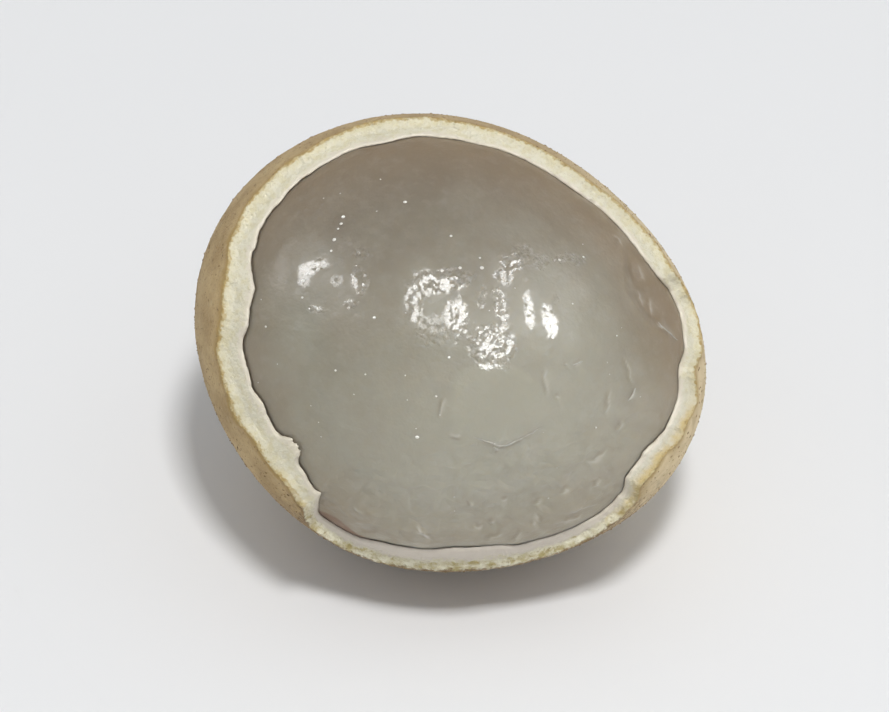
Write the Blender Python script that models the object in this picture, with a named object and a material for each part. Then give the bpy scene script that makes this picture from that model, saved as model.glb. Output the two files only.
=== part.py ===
"""A longan with its near half peeled: the whole, round flesh sits in what is left of the rind.

Each piece is shaped in the fruit's own frame. Its Z axis points out of the opening, X to the
right and Y up the opening's face. The fruit is then laid back on the small flat spot it rests on.
"""

import math

import bmesh
import bpy
from mathutils import Matrix, Vector, noise

# Driving sizes, in metres
FRUIT_WIDTH = 0.0260
RIND_THICKNESS = 0.00080
FLESH_CLEARANCE = 0.00035
REST_FLAT_DEPTH = 0.00022

# Proportions of the fruit. The outline's waves make its long diameter 8.3% over the mean one.
MEAN_RADIUS = FRUIT_WIDTH / 2 / 1.083
DEPTH_SHARE = 1.0
# Waves of the outline round the opening: (how many, share of the radius, degrees of the first crest)
OUTLINE_WAVES = ((2, 0.073, -22.0), (3, 0.016, -5.0), (4, 0.012, -19.0))

# The opening's axis leans this far from straight up, towards -Y
OPENING_LEAN = math.radians(45.0)

# The cut edge: its angle from the opening's axis, and where the rind that is left reaches further.
# Each reach is (degrees round the opening, half width in degrees, degrees of extra rind).
CUT_ANGLE = 76.0
CUT_REACHES = (
    (155.0, 29.0, 9.5),
    (170.0, 6.5, 7.0),
    (205.0, 23.0, 9.5),
    (217.0, 7.0, 4.5),
    (55.0, 35.0, 2.5),
    (267.0, 22.0, 3.5),
)
# A straight-sided piece of the rind that stayed on
CUT_STEPS = ((336.0, 20.0, 8.5),)
CUT_RAGGEDNESS = 0.8
# The rind's inner skin tears a little further out over the flesh than the crust does
LIP_REACH = 0.4
LIP_REACHES = ((145.0, 32.0, 4.0), (190.0, 26.0, 6.4), (303.0, 9.0, 2.8))
# Two scraps of inner skin that stay behind: (degrees, half width, degrees of reach)
LIP_SCRAPS = ((214.5, 3.2, 7.5), (223.0, 4.0, 3.0))
LIP_RAGGEDNESS = 0.8
# The cut face from crust to inner skin: (share of the lip's reach, share of the thickness)
CUT_PROFILE = ((0.0, 0.0), (0.10, 0.30), (0.30, 0.58), (0.95, 0.80), (1.0, 1.0))

# The flesh lies a little towards the upper right of its cavity
FLESH_SHIFT = 0.00012
FLESH_SHIFT_DIRECTION = math.radians(50.0)
FLESH_DOME_SHARE = 0.97

# The round scar on the flesh, as (right, up) on the opening's face
SCAR_CENTRE = Vector((0.00237, -0.00277))
SCAR_RADIUS = 0.00265
SCAR_HEIGHT = 0.00016
SCAR_EDGE = 0.00070

# The fold down the right of the flesh: a line that bows outwards, beyond which the flesh is lower
FOLD_OFFSET = 0.00820
FOLD_BOW = 0.00090
FOLD_TOP = 0.00720
FOLD_FOOT = -0.00640
FOLD_DROP = 0.00045
FOLD_EDGE = 0.00065

# Low swellings over the whole flesh, and short wrinkles above the near edge
SWELL_SIZE = 0.0042
SWELL_HEIGHT = 0.00012
WRINKLE_SIZE = 0.0017
WRINKLE_HEIGHT = 0.00012
WRINKLE_TOP = -0.0045

# Mesh density
RIND_SEGMENTS = 108
RIND_SKIN_RINGS = 12
RIND_WALL_RINGS = 8
FLESH_SUBDIVISIONS = 5
# The flesh's faces are this much smaller on the open dome than on average, and larger behind
DOME_CLOSENESS = 0.35


def bell(angle, middle, half_width):
    """1 at the middle, falling off on both sides; all in degrees, round a full turn."""
    apart = (angle - middle + 180.0) % 360.0 - 180.0
    return math.exp(-((apart / half_width) ** 2))


def plateau(angle, middle, half_width):
    """Like bell, with a flat top and steep sides, as a torn scrap has."""
    apart = (angle - middle + 180.0) % 360.0 - 180.0
    return 1.0 / (1.0 + (apart / half_width) ** 6)


def smooth_step(low, high, value):
    t = min(1.0, max(0.0, (value - low) / (high - low)))
    return t * t * (3.0 - 2.0 * t)


def ragged(angle, pitch, seed):
    """Noise in -1..1 that closes on itself after a full turn; pitch is its waves per turn."""
    turn = math.radians(angle)
    around = pitch / math.tau
    return noise.noise(Vector((math.cos(turn) * around, math.sin(turn) * around, seed)))


def outline(angle):
    """The fruit's radius round the opening's axis, as a share of the mean radius."""
    share = 1.0
    for count, size, crest in OUTLINE_WAVES:
        share += size * math.cos(math.radians(count * (angle - crest)))
    return share


def fruit_point(angle, polar, depth):
    """A point at that depth under the skin: angle round the opening, polar angle from its axis."""
    bend = math.sin(math.radians(polar))
    # The outline's fine waves die away towards the poles, so that the surface stays smooth there
    share = 1.0 + (outline(angle) - 1.0) * (0.6 + 0.4 * bend * bend)
    across = (MEAN_RADIUS * share - depth) * bend
    along = (MEAN_RADIUS * DEPTH_SHARE - depth) * math.cos(math.radians(polar))
    turn = math.radians(angle)
    return Vector((across * math.cos(turn), across * math.sin(turn), along))


def cut_polar(angle):
    """Where the crust was cut, in degrees from the opening's axis."""
    reach = sum(extra * bell(angle, at, wide) for at, wide, extra in CUT_REACHES)
    reach += sum(extra * plateau(angle, at, wide) for at, wide, extra in CUT_STEPS)
    rough = ragged(angle, 60.0, 3.1) + 0.6 * ragged(angle, 150.0, 8.7)
    return CUT_ANGLE - reach + CUT_RAGGEDNESS * rough


def lip_polar(angle):
    """Where the rind's inner skin ends."""
    reach = LIP_REACH + sum(extra * bell(angle, at, wide) for at, wide, extra in LIP_REACHES)
    reach += sum(extra * plateau(angle, at, wide) for at, wide, extra in LIP_SCRAPS)
    rough = ragged(angle, 80.0, 5.4)
    return cut_polar(angle) - max(0.3, reach + LIP_RAGGEDNESS * rough)


def fold_drop(right, up):
    """How far the flesh lies under the dome beyond the fold on its right."""
    middle = (FOLD_TOP + FOLD_FOOT) / 2
    half = (FOLD_TOP - FOLD_FOOT) / 2
    along = (up - middle) / half
    line = FOLD_OFFSET + FOLD_BOW * (1.0 - along * along)
    beyond = smooth_step(line, line + FOLD_EDGE, right)
    within = 1.0 - smooth_step(0.7, 1.15, abs(along))
    return FOLD_DROP * beyond * within


def flesh_relief(point):
    """How far the flesh stands out of its plain form at a point of the plain dome."""
    right, up = point.x, point.y
    out = SWELL_HEIGHT * noise.noise(point / SWELL_SIZE)
    from_scar = (Vector((right, up)) - SCAR_CENTRE).length
    out += SCAR_HEIGHT * (1.0 - smooth_step(SCAR_RADIUS - SCAR_EDGE, SCAR_RADIUS, from_scar))
    low = smooth_step(WRINKLE_TOP, 2 * WRINKLE_TOP, up)
    stretched = Vector((right * 0.55, up * 1.5, point.z)) / WRINKLE_SIZE
    out += WRINKLE_HEIGHT * low * noise.noise(stretched)
    return out - fold_drop(right, up)


def finished(name, ball):
    """The bmesh as a smooth object that keeps its torn and cut edges sharp."""
    bmesh.ops.recalc_face_normals(ball, faces=ball.faces)
    mesh = bpy.data.meshes.new(name)
    ball.to_mesh(mesh)
    ball.free()
    mesh.shade_smooth()
    mesh.set_sharp_from_angle(angle=math.radians(40.0))
    return bpy.data.objects.new(name, mesh)


def make_rind():
    """A cup of rind: up its skin from the far pole, over the cut face, and back down its wall."""
    face_end = RIND_SKIN_RINGS + len(CUT_PROFILE) - 1
    rings = face_end + RIND_WALL_RINGS

    def place(angle, ring):
        cut, lip = cut_polar(angle), lip_polar(angle)
        if ring < RIND_SKIN_RINGS:
            # The rings draw together near the edge, where the shape changes most
            up_skin = 1.0 - (1.0 - ring / RIND_SKIN_RINGS) ** 1.25
            return fruit_point(angle, 180.0 + (cut - 180.0) * up_skin, 0.0)
        if ring <= face_end:
            reach, depth = CUT_PROFILE[ring - RIND_SKIN_RINGS]
            return fruit_point(angle, cut + (lip - cut) * reach, depth * RIND_THICKNESS)
        down_wall = (ring - face_end) / RIND_WALL_RINGS
        return fruit_point(angle, lip + (180.0 - lip) * down_wall, RIND_THICKNESS)

    # A cup with no hole through it is a ball pushed in: each ring of the ball becomes one of the cup
    cup = bmesh.new()
    bmesh.ops.create_uvsphere(cup, u_segments=RIND_SEGMENTS, v_segments=rings, radius=1.0)
    for vertex in cup.verts:
        angle = math.degrees(math.atan2(vertex.co.y, vertex.co.x))
        height = max(-1.0, min(1.0, vertex.co.z))
        vertex.co = place(angle, round(math.acos(height) * rings / math.pi))
    return finished("rind", cup)


def make_flesh():
    """The aril: a ball that fills the rind and stands out of it as a dome, with its own relief."""
    depth = RIND_THICKNESS + FLESH_CLEARANCE
    turn = FLESH_SHIFT_DIRECTION
    shift = Vector((math.cos(turn), math.sin(turn), 0.0)) * FLESH_SHIFT

    ball = bmesh.new()
    bmesh.ops.create_icosphere(ball, subdivisions=FLESH_SUBDIVISIONS, radius=1.0)
    for vertex in ball.verts:
        angle = math.degrees(math.atan2(vertex.co.y, vertex.co.x))
        even = math.acos(max(-1.0, min(1.0, vertex.co.z)))
        polar = math.degrees(even - DOME_CLOSENESS * math.sin(even))
        point = fruit_point(angle, polar, depth)
        if point.z > 0.0:
            point.z *= FLESH_DOME_SHARE
        point += shift
        # The relief belongs to the open dome and dies away where the rind covers the flesh
        shown = 1.0 - smooth_step(60.0, 82.0, polar)
        vertex.co = point + point.normalized() * flesh_relief(point) * shown
    return finished("flesh", ball)


def make_material(name, colour, roughness):
    material = bpy.data.materials.new(name)
    material.use_nodes = True
    shader = material.node_tree.nodes["Principled BSDF"]
    shader.inputs["Base Color"].default_value = (*colour, 1.0)
    shader.inputs["Roughness"].default_value = roughness
    shader.inputs["Metallic"].default_value = 0.0
    return material


def corners(objects, turn):
    """Lowest and highest corner of the objects once they are turned."""
    points = [turn @ vertex.co for obj in objects for vertex in obj.data.vertices]
    low = Vector([min(point[axis] for point in points) for axis in range(3)])
    high = Vector([max(point[axis] for point in points) for axis in range(3)])
    return low, high


def make_floor_cutter(collection):
    """A box whose top is the floor: it flattens the rind where the fruit rests."""
    depth = 0.010
    bpy.ops.mesh.primitive_cube_add(size=1.0, location=(0.0, 0.0, -depth / 2))
    cutter = bpy.context.object
    cutter.name = "floor_cutter"
    cutter.data.transform(Matrix.Diagonal((2 * FRUIT_WIDTH, 2 * FRUIT_WIDTH, depth, 1.0)))
    cutter.hide_render = True
    cutter.display_type = "WIRE"
    for owner in list(cutter.users_collection):
        owner.objects.unlink(cutter)
    collection.objects.link(cutter)
    return cutter


def main():
    for obj in list(bpy.data.objects):
        bpy.data.objects.remove(obj)
    fruit = bpy.data.collections.new("longan")
    cutters = bpy.data.collections.new("cutters")
    bpy.context.scene.collection.children.link(fruit)
    bpy.context.scene.collection.children.link(cutters)

    rind, flesh = make_rind(), make_flesh()
    rind.data.materials.append(make_material("rind", (0.42, 0.32, 0.16), 0.75))
    flesh.data.materials.append(make_material("flesh", (0.40, 0.37, 0.29), 0.18))

    # The origin is under the middle of the fruit, on the surface that it rests on
    turn = Matrix.Rotation(OPENING_LEAN, 3, "X")
    low, high = corners((rind, flesh), turn)
    fruit_frame = bpy.data.objects.new("fruit_frame", None)
    fruit_frame.location = (
        -(low.x + high.x) / 2,
        -(low.y + high.y) / 2,
        -low.z - REST_FLAT_DEPTH,
    )
    fruit_frame.rotation_euler = (OPENING_LEAN, 0.0, 0.0)
    fruit.objects.link(fruit_frame)
    for obj in (rind, flesh):
        obj.parent = fruit_frame
        fruit.objects.link(obj)

    flatten = rind.modifiers.new("rest_flat", "BOOLEAN")
    flatten.operation = "DIFFERENCE"
    flatten.object = make_floor_cutter(cutters)


main()
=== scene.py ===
"""A half-peeled longan: rough rind with a torn, pale rim, and the wet, translucent flesh in it."""

import functools
import math

import bmesh
import bpy
from bpy.props import FloatProperty, FloatVectorProperty, IntProperty, PointerProperty
from mathutils import Matrix, Vector, noise
from mathutils.bvhtree import BVHTree


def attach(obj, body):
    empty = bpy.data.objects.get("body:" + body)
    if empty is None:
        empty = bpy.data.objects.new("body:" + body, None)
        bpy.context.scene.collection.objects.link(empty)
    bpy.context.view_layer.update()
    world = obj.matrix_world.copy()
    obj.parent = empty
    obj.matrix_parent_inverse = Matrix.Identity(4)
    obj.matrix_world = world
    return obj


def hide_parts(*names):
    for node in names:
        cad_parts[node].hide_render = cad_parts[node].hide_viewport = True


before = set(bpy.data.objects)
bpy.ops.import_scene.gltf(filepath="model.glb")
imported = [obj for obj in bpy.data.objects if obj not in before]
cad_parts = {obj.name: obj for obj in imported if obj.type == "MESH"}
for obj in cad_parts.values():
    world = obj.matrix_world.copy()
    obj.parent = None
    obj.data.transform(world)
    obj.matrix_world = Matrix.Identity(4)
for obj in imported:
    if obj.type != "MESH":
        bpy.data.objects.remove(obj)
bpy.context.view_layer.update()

bl_info = {
    "name": "Half-peeled Longan",
    "version": (1, 0, 0),
    "blender": (4, 5, 0),
    "location": "3D View > Sidebar > Longan",
    "description": "Makes a longan fruit with its near half peeled",
    "category": "Add Mesh",
}

MM = 0.001
# Without a seed, noise.noise_vector would start from the clock
NOISE_SEED = 7
noise.seed_set(NOISE_SEED)

# The fruit's own frame: X to the right, Y up the opening's face, Z out of the opening
FRUIT_CENTRE = Vector((-0.194, -0.707, 11.532)) * MM
OPENING_LEAN = math.radians(45.0)
FRUIT_TO_WORLD = Matrix.Translation(FRUIT_CENTRE) @ Matrix.Rotation(OPENING_LEAN, 4, "X")

# The fruit's form
LONG_DIAMETER = 0.0260
LONG_TO_MEAN = 1.083
MEAN_RADIUS = LONG_DIAMETER / 2 / LONG_TO_MEAN
RIND_THICKNESS = 0.00080
OUTLINE_WAVES = ((2, 0.073, -22.0), (3, 0.016, -5.0), (4, 0.012, -19.0))
CUT_ANGLE = 76.0
# The torn rim where it bends: turn round the opening, then how far from the opening's axis the
# crust was cut and the inner skin ends, all in degrees
RIM_BENDS = (
    (0.0, 80.0, 76.0), (8.0, 83.0, 79.5), (13.0, 80.0, 78.0), (18.0, 76.5, 73.5), (26.0, 77.0, 72.2),
    (40.0, 75.0, 73.0), (50.0, 72.5, 70.5), (70.0, 74.0, 71.0), (84.0, 73.5, 69.8), (96.0, 76.0, 71.3),
    (108.0, 76.0, 67.8), (118.0, 72.5, 68.0), (130.0, 70.0, 65.3), (144.0, 68.0, 63.0),
    (154.0, 65.5, 60.0), (164.0, 61.5, 54.2), (172.0, 61.3, 54.8), (182.0, 64.5, 58.3),
    (192.0, 65.5, 58.3), (199.0, 67.0, 56.9), (206.0, 63.5, 57.5), (222.0, 64.0, 59.3),
    (228.5, 68.0, 62.5), (233.0, 79.0, 77.0), (244.0, 84.0, 78.5), (252.0, 84.0, 73.5),
    (262.0, 84.0, 72.5), (272.0, 83.0, 69.8), (283.0, 84.0, 70.8), (291.0, 84.0, 75.3),
    (304.0, 82.0, 76.6), (314.0, 77.0, 75.0), (319.0, 74.0, 72.0), (324.0, 67.5, 64.6),
    (331.0, 67.0, 64.4), (340.0, 71.0, 68.5), (347.0, 74.5, 70.5), (354.0, 71.0, 69.3),
    (360.0, 80.0, 76.0),
)
LIP_SCRAPS = ((213.5, 4.2, 5.0), (231.0, 1.6, 4.0))

# The cut face, as (share of the way over it, share of the lip's reach, share of the thickness)
CUT_PROFILE = (
    (0.00, 0.00, 0.00),
    (0.22, 0.15, 0.22),
    (0.46, 0.34, 0.54),
    (0.88, 0.94, 0.80),
    (1.00, 1.00, 1.00),
)
CUT_RINGS = 16
# Crumbs lie between these shares of the thickness, and no grain lies under the fruit
CRUMBS_FROM = 0.05
CRUMBS_TO = 0.62
GRAINS_ABOVE = 0.2 * MM

# The flesh: how it sits in the rind, how it takes light, and what shows on it
FLESH_SHIFT = 0.02 * MM
FLESH_SHIFT_DIRECTION = math.radians(50.0)
FLESH_DOME_SHARE = 0.97
FLESH_DOME_DEPTH = 0.44 * MM
FLESH_SUBSURFACE = (1.0, 0.85, 0.65)
# The painted shade of the gap beside the lip, low on the left: where it lies round the opening, and its
# width, in degrees
GAP_SHADE_AT = 238.5
GAP_SHADE_WIDTH = 7.5
SCAR_CENTRE = Vector((2.38, -2.90)) * MM
SCAR_SEMI_AXES = (2.50 * MM, 2.00 * MM)
FOLD_DROP = 0.26
# A flake of membrane: how far behind its edge it can be felt, and its step there in mm
FLAKE = 0.9 * MM
FLAKE_STEP = 0.050
# How far from the opening's axis the scar and the wet patches, and the juice's specks, can lie
MARKS_END = 60.0
SPECKS_END = 56.0
# The numbers that each point of the flesh holds, for its material and its specks
FLESH_MARKS = ("scar", "wet", "pucker", "bead_mask", "flake_shading", "raw")

# The picture's frame, 889 by 712 pixels: what one pixel spans at the fruit, and its middle
PICTURE_WIDTH = 889
PIXEL = 44.2 * MM / PICTURE_WIDTH
PICTURE_MIDDLE = (444.5, 356.0)
FRUIT_IN_PICTURE = (446.4, 344.4)
CAMERA_DISTANCE = 0.25
SENSOR_WIDTH = 36.0

# The fold down the right of the flesh, and the lifted edges of membrane on it, as pixels
FOLD_LINE = (
    (621, 226), (622, 246), (623, 268), (627, 292), (635, 308), (645, 322), (656, 331), (668, 338),
    (684, 349),
)
# (half width in mm, points from start to end); only thick ones stand up as ridges
THICK_EDGE = 0.040
MEMBRANE_EDGES = (
    (0.034, ((447, 435), (455, 436), (463, 438))),
    (0.042, ((473, 438), (486, 442), (496, 446), (503, 447),
             (511, 444), (520, 440), (529, 435), (543, 427))),
    (0.050, ((493, 448), (500, 451))),
    (0.030, ((447, 396), (441, 408), (440, 421))),
    (0.028, ((545, 367), (546, 384), (549, 400))),
    (0.036, ((622, 352), (628, 364), (631, 378), (634, 388))),
    (0.060, ((635, 388), (633, 394), (628, 401))),
    (0.026, ((611, 387), (608, 402), (606, 420))),
    (0.032, ((623, 420), (620, 426), (615, 432))),
    (0.026, ((610, 447), (601, 455), (594, 461), (584, 462))),
    (0.034, ((602, 475), (596, 482), (591, 489))),
    (0.032, ((571, 489), (566, 491), (558, 496))),
    (0.034, ((582, 511), (578, 517), (568, 519), (560, 525))),
    (0.036, ((543, 524), (538, 520), (537, 514))),
    (0.034, ((536, 522), (531, 526))),
    (0.026, ((543, 499), (538, 503), (531, 507))),
    (0.030, ((509, 501), (500, 500))),
    (0.030, ((484, 529), (478, 527), (473, 525))),
    (0.034, ((495, 521), (488, 524))),
    (0.030, ((503, 532), (499, 535), (492, 538), (484, 544))),
    (0.028, ((523, 530), (518, 536), (514, 543))),
    (0.026, ((435, 543), (428, 538), (421, 532), (416, 526))),
    (0.028, ((472, 501), (469, 507))),
    (0.042, ((583, 361), (579, 364), (573, 366))),
    (0.050, ((567, 364), (565, 366))),
    (0.036, ((561, 397), (556, 399))),
    (0.030, ((652, 295), (654, 306), (657, 318))),
    (0.028, ((641, 287), (644, 298), (649, 308))),
    (0.040, ((657, 322), (664, 330), (675, 341))),
    (0.026, ((637, 262), (643, 272), (648, 284))),
    (0.034, ((610, 233), (618, 240), (622, 250))),
    (0.028, ((640, 456), (634, 466), (630, 474))),
    (0.030, ((351, 508), (358, 513), (365, 515))),
    (0.024, ((415, 526), (421, 531), (430, 541))),
)
# Beads of juice: (half width in mm, column, row)
BEADS = (
    (0.106, 343, 217), (0.094, 341, 224), (0.069, 338, 229), (0.106, 334, 240), (0.075, 331, 251),
    (0.100, 405, 202), (0.075, 451, 236), (0.062, 480, 258), (0.106, 482, 268), (0.088, 460, 268),
    (0.100, 303, 281), (0.075, 302, 298), (0.094, 374, 318), (0.106, 417, 438), (0.062, 335, 371),
    (0.056, 309, 309), (0.075, 449, 358), (0.088, 560, 260), (0.075, 584, 257), (0.056, 573, 304),
    (0.050, 617, 336), (0.062, 436, 397), (0.056, 596, 428), (0.062, 266, 327), (0.050, 365, 375),
)
# Where the flesh's skin is wet and puckered: middle and half widths in pixels, turn in degrees,
# then how wet and how puckered it is
WET_PATCHES = (
    ((441, 281), (34, 13), 4.0, 1.0, 1.0),
    ((414, 299), (10, 24), 0.0, 0.8, 1.0),
    ((456, 320), (12, 26), -6.0, 1.0, 0.9),
    ((433, 330), (18, 17), 0.0, 0.35, 0.8),
    ((482, 297), (5, 13), 0.0, 0.6, 0.7),
    ((500, 305), (9, 20), 10.0, 0.8, 1.0),
    ((491, 346), (26, 25), 0.0, 0.95, 1.0),
    ((516, 259), (19, 11), 35.0, 0.9, 1.0),
    ((504, 276), (11, 10), 0.0, 0.6, 1.0),
    ((541, 262), (8, 8), 40.0, 0.7, 0.9),
    ((529, 310), (5.5, 20), 6.0, 1.0, 0.80),
    ((549, 321), (7, 18), 14.0, 1.0, 0.80),
    ((555, 300), (5, 5), 0.0, 0.6, 0.8),
    ((312, 268), (17, 7), 22.0, 0.9, 1.0),
    ((304, 280), (6, 8), 0.0, 0.7, 1.0),
    ((336, 281), (8, 6), 0.0, 0.4, 1.0),
    ((360, 280), (10, 15), 0.0, 0.8, 1.0),
    ((350, 305), (7, 6), 0.0, 0.7, 1.0),
    ((362, 254), (8, 7), 0.0, 0.35, 1.0),
    ((315, 310), (9, 4), 0.0, 0.6, 1.0),
    ((572, 259), (18, 6), 0.0, 0.8, 1.0),
)


# Form


def bell(angle, middle, half_width):
    apart = (angle - middle + 180.0) % 360.0 - 180.0
    return math.exp(-((apart / half_width) ** 2))


def plateau(angle, middle, half_width):
    apart = (angle - middle + 180.0) % 360.0 - 180.0
    return 1.0 / (1.0 + (apart / half_width) ** 6)


def smooth_step(low, high, value):
    t = min(1.0, max(0.0, (value - low) / (high - low)))
    return t * t * (3.0 - 2.0 * t)


def ragged(angle, pitch, seed):
    """Noise in -1..1 that closes on itself after a full turn; pitch is its waves per turn."""
    turn = math.radians(angle)
    around = pitch / math.tau
    return noise.noise(Vector((math.cos(turn) * around, math.sin(turn) * around, seed)))


def outline(angle):
    share = 1.0
    for count, size, crest in OUTLINE_WAVES:
        share += size * math.cos(math.radians(count * (angle - crest)))
    return share


def fruit_point(angle, polar, depth):
    """A point at that depth under the skin, in the fruit's own frame."""
    bend = math.sin(math.radians(polar))
    share = 1.0 + (outline(angle) - 1.0) * (0.6 + 0.4 * bend * bend)
    across = (MEAN_RADIUS * share - depth) * bend
    along = (MEAN_RADIUS - depth) * math.cos(math.radians(polar))
    turn = math.radians(angle)
    return Vector((across * math.cos(turn), across * math.sin(turn), along))


def rim_bend(angle):
    """The cut's and the lip's plain angles, between the bends on either side."""
    turn = angle % 360.0
    for before, after in zip(RIM_BENDS, RIM_BENDS[1:]):
        if turn <= after[0]:
            share = smooth_step(before[0], after[0], turn)
            return [a + (b - a) * share for a, b in zip(before[1:], after[1:])]
    return RIM_BENDS[-1][1:]


def cut_polar(angle):
    """Where the crust was cut, in degrees from the opening's axis."""
    rough = 0.8 * (ragged(angle, 60.0, 3.1) + 0.6 * ragged(angle, 150.0, 8.7))
    rough += 0.3 * ragged(angle, 400.0, 1.3)
    return rim_bend(angle)[0] + rough


def lip_polar(angle):
    """Where the rind's inner skin ends, in degrees from the opening's axis."""
    scraps = sum(extra * plateau(angle, at, wide) for at, wide, extra in LIP_SCRAPS)
    rough = 0.8 * ragged(angle, 80.0, 5.4) + 0.35 * ragged(angle, 260.0, 7.7)
    torn = min(1.0, scraps / 4.0)
    fine = torn * (1.0 * ragged(angle, 330.0, 9.9) + 0.5 * ragged(angle, 900.0, 2.6))
    return min(cut_polar(angle) - 0.25, rim_bend(angle)[1] - scraps - rough - fine)


def between(profile, share):
    """The profile's other two values at that share of the way."""
    for before, after in zip(profile, profile[1:]):
        if share <= after[0]:
            t = (share - before[0]) / (after[0] - before[0])
            return (
                before[1] + (after[1] - before[1]) * t,
                before[2] + (after[2] - before[2]) * t,
            )
    return profile[-1][1:]


def fractal(point, size, octaves=3):
    """Noise in about -1..1 whose largest lumps are that size."""
    return noise.fractal(point / size, 0.9, 2.0, octaves)


# Meshes


def linked_object(name, data):
    thing = bpy.data.objects.new(name, data)
    bpy.context.scene.collection.objects.link(thing)
    return thing


def finished_object(name, mesh):
    """The mesh as an object at the origin, smooth, with its faces pointing out."""
    shell = bmesh.new()
    shell.from_mesh(mesh)
    bmesh.ops.recalc_face_normals(shell, faces=shell.faces)
    shell.to_mesh(mesh)
    shell.free()
    mesh.shade_smooth()
    return linked_object(name, mesh)


def store(mesh, name, values):
    attribute = mesh.attributes.new(name, "FLOAT", "POINT")
    attribute.data.foreach_set("value", values)


def loft(name, rings, values_of):
    """A closed mesh over rings of points between two poles.

    A ring has as many points as the one before it, twice as many or half as many.
    values_of is parallel to rings and holds one number, or several, for each point.
    """
    points, values, starts = [], [], []
    for ring, numbers in zip(rings, values_of):
        starts.append(len(points))
        points.extend(ring)
        values.extend(numbers)
    faces = []
    for k in range(len(rings) - 1):
        a, b = starts[k], starts[k + 1]
        m, n = len(rings[k]), len(rings[k + 1])
        if m == 1 or n == 1:
            pole, ring, count = (a, b, n) if m == 1 else (b, a, m)
            faces += [(pole, ring + i, ring + (i + 1) % count) for i in range(count)]
        elif m == n:
            for i in range(m):
                j = (i + 1) % m
                faces.append((a + i, a + j, b + j, b + i))
        else:
            coarse, fine, count = (a, b, m) if n == 2 * m else (b, a, n)
            for i in range(count):
                j = (i + 1) % count
                first, middle, last = fine + 2 * i, fine + 2 * i + 1, fine + 2 * j
                faces.append((coarse + i, first, middle))
                faces.append((coarse + i, middle, coarse + j))
                faces.append((coarse + j, middle, last))
    mesh = bpy.data.meshes.new(name)
    mesh.from_pydata([tuple(p) for p in points], [], faces)
    mesh.update()
    return mesh, values


def rind_rings(full):
    """Rings of the rind's shell, with the layer each point is in.

    The layer is the share of the thickness on the cut face, minus the distance from the edge in
    millimetres on the skin, and 1 plus that distance on the inner wall.
    """
    rings, layers = [], []
    degree = MEAN_RADIUS * math.pi / 180.0 / MM
    behind = 180.0 - CUT_ANGLE
    reach = behind * degree

    def add(count, place):
        ring, numbers = [], []
        for i in range(count):
            point, layer = place(360.0 * i / count)
            ring.append(point)
            numbers.append(layer)
        rings.append(ring)
        layers.append(numbers)

    def skin(distance):
        def place(angle):
            cut = cut_polar(angle)
            # Away from the edge the rings forget its ragged line and turn into circles
            plain = 180.0 - behind * (1.0 - distance / reach)
            near = 1.0 - smooth_step(0.0, 12.0, distance)
            polar = plain + (cut - CUT_ANGLE) * near
            return fruit_point(angle, min(polar, 180.0), 0.0), -distance

        return place

    def face(share):
        def place(angle):
            cut, lip = cut_polar(angle), lip_polar(angle)
            across, depth = between(CUT_PROFILE, share)
            return fruit_point(angle, cut + (lip - cut) * across, depth * RIND_THICKNESS), depth

        return place

    def wall(distance):
        def place(angle):
            lip = lip_polar(angle)
            plain = CUT_ANGLE + distance / degree
            near = 1.0 - smooth_step(0.0, 10.0, distance)
            polar = plain + (lip - CUT_ANGLE) * near
            return fruit_point(angle, min(polar, 180.0), RIND_THICKNESS), 1.0 + distance

        return place

    # (step, start and end in millimetres from the edge, then full is divided by the last)
    skin_steps = [(0.08, 0.0, 1.2, 1), (0.16, 1.2, 4.0, 2), (0.30, 4.0, 9.0, 4), (0.55, 9.0, reach, 8)]
    wall_steps = [(0.12, 0.0, 0.6, 1), (0.30, 0.6, 2.2, 2), (0.70, 2.2, 6.0, 4), (1.20, 6.0, reach, 8)]
    distances = []
    for step, start, end, share in skin_steps:
        count = max(1, round((end - start) / step))
        distances += [(start + (end - start) * k / count, full // share) for k in range(count)]
    rings.append([fruit_point(0.0, 180.0, 0.0)])
    layers.append([-reach])
    for distance, count in reversed(distances[1:]):
        add(count, skin(distance))
    for k in range(CUT_RINGS + 1):
        add(full, face(k / CUT_RINGS))
    for step, start, end, share in wall_steps:
        count = max(1, round((end - start) / step))
        for k in range(1 if start == 0.0 else 0, count):
            add(full // share, wall(start + (end - start) * k / count))
    rings.append([fruit_point(0.0, 180.0, RIND_THICKNESS)])
    layers.append([1.0 + reach])
    return rings, layers


def rind_offset(point, normal, layer, inset):
    """How far the rind's surface moves from a point of its plain form."""
    if layer < 0.0:
        near_edge = 1.0 - smooth_step(0.0, 0.30, -layer)
        plates = 0.016 * fractal(point, 0.9 * MM, 3) + 0.012 * fractal(point, 0.30 * MM, 2)
        out = normal * (-inset + (plates - 0.02 * near_edge) * MM)
        torn = near_edge
    elif layer > 1.0:
        out = normal * (-0.01 * MM * (1.0 + fractal(point, 0.5 * MM, 2)))
        torn = 0.25 * (1.0 - smooth_step(1.0, 1.3, layer))
    else:
        # The pith crumbles, and the inner skin is nearly smooth
        crumbly = smooth_step(0.0, 0.15, layer) * (1.0 - 0.85 * smooth_step(0.66, 0.76, layer))
        lumps = 0.034 * fractal(point, 0.45 * MM, 3) + 0.014 * fractal(point, 0.15 * MM, 2)
        out = normal * ((crumbly * lumps + 0.010 * fractal(point, 0.6 * MM, 2) - 0.02) * MM)
        torn = 1.0 - 0.75 * smooth_step(0.60, 0.78, layer)
    if torn > 0.0:
        coarse = noise.noise_vector(point / (0.42 * MM)) * 0.040 * MM
        fine = noise.noise_vector(point / (0.16 * MM)) * 0.022 * MM
        out = out + (coarse + fine) * torn
    return out


def displaced(mesh, values, offset):
    """Moves each vertex by offset(its place, its normal, its value)."""
    normals = [vertex.normal.copy() for vertex in mesh.vertices]
    for vertex, normal, value in zip(mesh.vertices, normals, values):
        vertex.co = vertex.co + offset(vertex.co, normal, value)


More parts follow.
